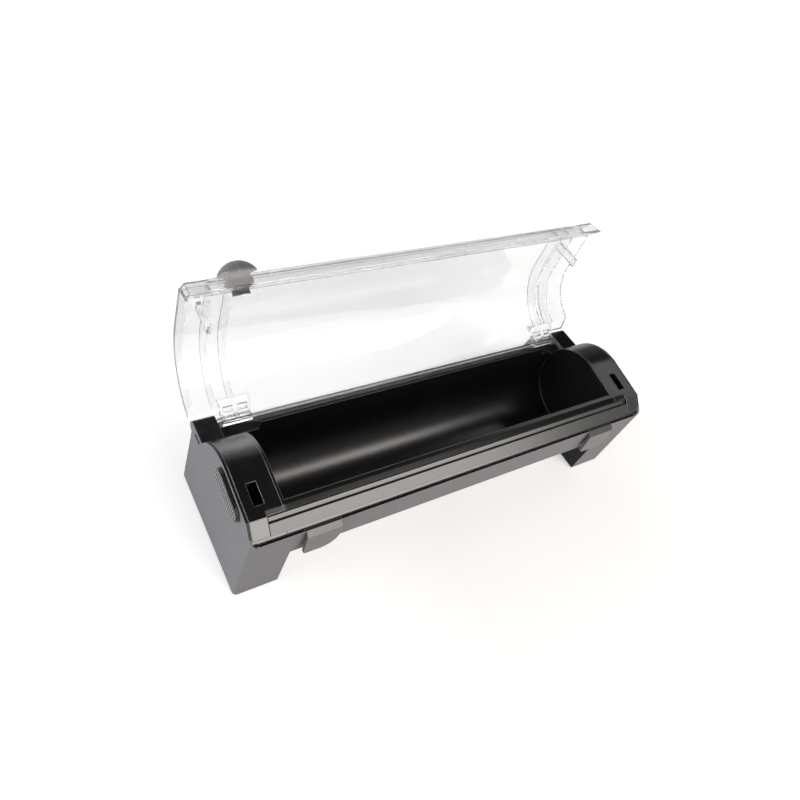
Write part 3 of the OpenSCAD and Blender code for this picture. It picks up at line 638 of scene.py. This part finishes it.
button_paint, shader, pen = new_finish("grey_grip_plastic", IOR=1.5)
cloud = noise(pen, 200, 3)
(x,) = axes(pen, "X")
# painted highlight on the knurl tips over the button's grey, painted shade in the valleys
lit_knurl_tip = abs(x) > button_face - tip_share * knurl_deep
tip_grey_and_highlight = blend(pen, cloud, (0.30, 0.295, 0.282, 1), (0.37, 0.365, 0.35, 1))
valley_painted_shade = blend(pen, cloud, (0.010, 0.010, 0.010, 1), (0.018, 0.018, 0.017, 1))
blend(pen, lit_knurl_tip, valley_painted_shade, tip_grey_and_highlight).feed(shader, "Base Color")
(0.34 + cloud * 0.12).feed(shader, "Roughness")
relief(pen, shader, noise(pen, 1800, 2), depth=0.00003, strength=0.4, edge=0.0001)
print("button finish ready")

# %% [markdown]
# The knurl could be a bump map, but its sawtooth shows in the outline, so it is modelled: a grid, each cell poked into
# a pyramid, the sheet thickened by an extrusion and cut to the button's rounded outline with a Boolean. The button's
# own solid, trimmed a little below the knurl, carries it.

# %% Knurled buttons
outline_sides = 64
merge_within = 0.000001


def knurled_pad():
    columns, rows = knurl_cells
    pad = start(bpy.ops.mesh.primitive_grid_add, x_subdivisions=columns, y_subdivisions=rows, size=1)
    edit_all(pad)
    bpy.ops.transform.resize(value=(columns * knurl_cell[0], rows * knurl_cell[1], 1))
    bpy.ops.mesh.poke(offset=knurl_deep)
    bpy.ops.mesh.select_all(action="SELECT")
    extrude(-3 * pad_under)
    face_outward()
    outline = start(bpy.ops.mesh.primitive_cylinder_add, vertices=outline_sides, radius=button_tall / 2,
                    depth=2 * pad_under, rotation=(0, 0, math.pi / outline_sides))
    half_straight = (button_long - button_tall) / 2
    for way in (-1, 1):
        pick(outline, "VERT", lambda co: co.x * way > 0)
        bpy.ops.transform.translate(value=(way * half_straight, 0, 0))
        leave_edit()
    apply_modifier(pad, "BOOLEAN", operation="INTERSECT", object=outline, solver="EXACT")
    bpy.data.objects.remove(outline)
    return pad


def knurled_button(hand, side):
    node = "release_button_" + hand
    pad = knurled_pad()
    along, down = slope.to_3x3() @ Vector((0, side, 0)), slope.to_3x3() @ Vector((0, 0, 1))
    facing = Matrix((along, down, Vector((side, 0, 0)))).transposed().to_4x4()
    middle = slope @ Vector((side * (button_face - knurl_deep), button_along, button_down))
    move_to(pad, Matrix.Translation(middle) @ facing)
    body = bpy.data.objects.new(node + "_body", nodes[node].data.copy())
    bpy.context.scene.collection.objects.link(body)
    edit_all(body)
    bpy.ops.mesh.remove_doubles(threshold=merge_within)
    trim_at = button_face - knurl_deep - pad_under / 2
    bpy.ops.mesh.bisect(plane_co=(side * trim_at, 0, 0), plane_no=(side, 0, 0), use_fill=True, clear_outer=True)
    leave_edit()
    settle(join([body, pad]), node + "_knurled", button_paint, "button_" + hand, "button_grey", node)


for hand, side in hands:
    knurled_button(hand, side)

# %% [markdown]
# A coil is a small circle swept round an axis by the Screw modifier, which turns and climbs at once. With three sides
# and a steep pitch the same sweep gives the thread of a screw. The open ends are capped afterwards.


# %% Coil tool
def coil(mean_radius, wire_radius, length, turns, sides):
    wire = start(bpy.ops.mesh.primitive_circle_add, vertices=sides, radius=wire_radius,
                 location=(mean_radius, 0, wire_radius), rotation=(math.pi / 2, 0, 0))
    rise = (length - 2 * wire_radius) / turns
    apply_modifier(wire, "SCREW", angle=2 * math.pi, screw_offset=rise, iterations=turns, steps=20, render_steps=20,
                   use_smooth_shade=True)
    edit_all(wire)
    bpy.ops.mesh.fill_holes(sides=sides)
    face_outward()
    return wire


print("coil tool ready")

# %% [markdown]
# Each button is pushed back by a coil spring on a peg; the spring rides on the button.

# %% Button springs
spring_out = 0.1610
spring_in = 0.1533
spring_radius = 0.0022
spring_wire = 0.0003
spring_turns = 6
spring_sides = 10
spring_centre = slope @ Vector((0, 0.0170, -0.0075))
for hand, side in hands:
    spring = coil(spring_radius, spring_wire, spring_out - spring_in, spring_turns, spring_sides)
    lie_down = Matrix.Rotation(side * math.pi / 2, 4, "Y")
    move_to(spring, Matrix.Translation((side * spring_in, spring_centre.y, spring_centre.z)) @ lie_down)
    settle(spring, "button_spring_coil_" + hand, steel_paint, "button_" + hand, "steel", "button_spring_" + hand)
    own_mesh(spring)

# %% [markdown]
# Four screws hold the insert from below. A pan head is a cylinder with its rim bevelled and a cross cut into it by a
# Boolean; the thread is the coil again, wound on a plain core.

# %% Insert screws
flat_slack = 0.0001
head_radius = 0.0029
head_deep = 0.002
head_round = 0.0007
cross_bar = (0.0032, 0.0007, 0.0022)
core_radius = 0.0012
core_long = 0.0172
core_middle = 0.0104
core_end = 0.0190
point_long = 0.0005
point_narrow = 0.4
thread_radius = 0.00125
thread_wire = 0.00025
thread_long = 0.0145
thread_turns = 14
thread_sides = 3
thread_start = 0.0035
screw_x = 0.1573
screw_y = (-0.039196, -0.006196)
screw_z = 0.0120


def insert_screw():
    head = start(bpy.ops.mesh.primitive_cylinder_add, vertices=40, radius=head_radius, depth=head_deep,
                 location=(0, 0, head_deep / 2))
    pick(head, "FACE", lambda centre: centre.z < flat_slack)
    bpy.ops.mesh.bevel(offset=head_round, segments=4, affect="EDGES")
    leave_edit()
    for turn_by in (0, math.pi / 2):
        bar = start(bpy.ops.mesh.primitive_cube_add, size=1, scale=cross_bar, rotation=(0, 0, turn_by))
        apply_modifier(head, "BOOLEAN", operation="DIFFERENCE", object=bar, solver="EXACT")
        bpy.data.objects.remove(bar)
    core = start(bpy.ops.mesh.primitive_cylinder_add, vertices=24, radius=core_radius, depth=core_long,
                 location=(0, 0, core_middle))
    pick(core, "FACE", lambda centre: centre.z > core_end - flat_slack)
    extrude(point_long)
    bpy.ops.transform.resize(value=(point_narrow, point_narrow, 1))
    leave_edit()
    thread = coil(thread_radius, thread_wire, thread_long, thread_turns, thread_sides)
    thread.location.z = thread_start
    return join([head, core, thread])


screw_set = set_of_four(insert_screw, screw_x, screw_y, screw_z, smooth_to=40)
settle(screw_set, "insert_screw_set", steel_paint, "base", "steel", "insert_screws")

# %% [markdown]
# The pads under the legs are moulded discs with a rounded rim and a shallow dish that grips like a sucker: a cylinder
# with its underside inset and pushed in, then a Bevel modifier on all sharp edges.

# %% Foot pads
foot_radius = 0.006
foot_high = 0.0023
foot_rim = 0.0016
foot_round = 0.00035
dish_deep = 0.0006
dish_narrow = 0.85
foot_x = 0.1635
foot_y = (-0.055119, 0.024881)


def foot_pad():
    pad = start(bpy.ops.mesh.primitive_cylinder_add, vertices=48, radius=foot_radius, depth=foot_high,
                location=(0, 0, foot_high / 2))
    pick(pad, "FACE", lambda centre: centre.z < flat_slack)
    bpy.ops.mesh.inset(thickness=foot_rim)
    extrude(dish_deep)
    bpy.ops.transform.resize(value=(dish_narrow, dish_narrow, 1))
    leave_edit()
    apply_modifier(pad, "BEVEL", width=foot_round, segments=3, limit_method="ANGLE")
    return pad


pad_set = set_of_four(foot_pad, foot_x, foot_y, 0, smooth_to=35)
settle(pad_set, "foot_pad_set", rubber_paint, "base", "pad_rubber", "foot_pads")
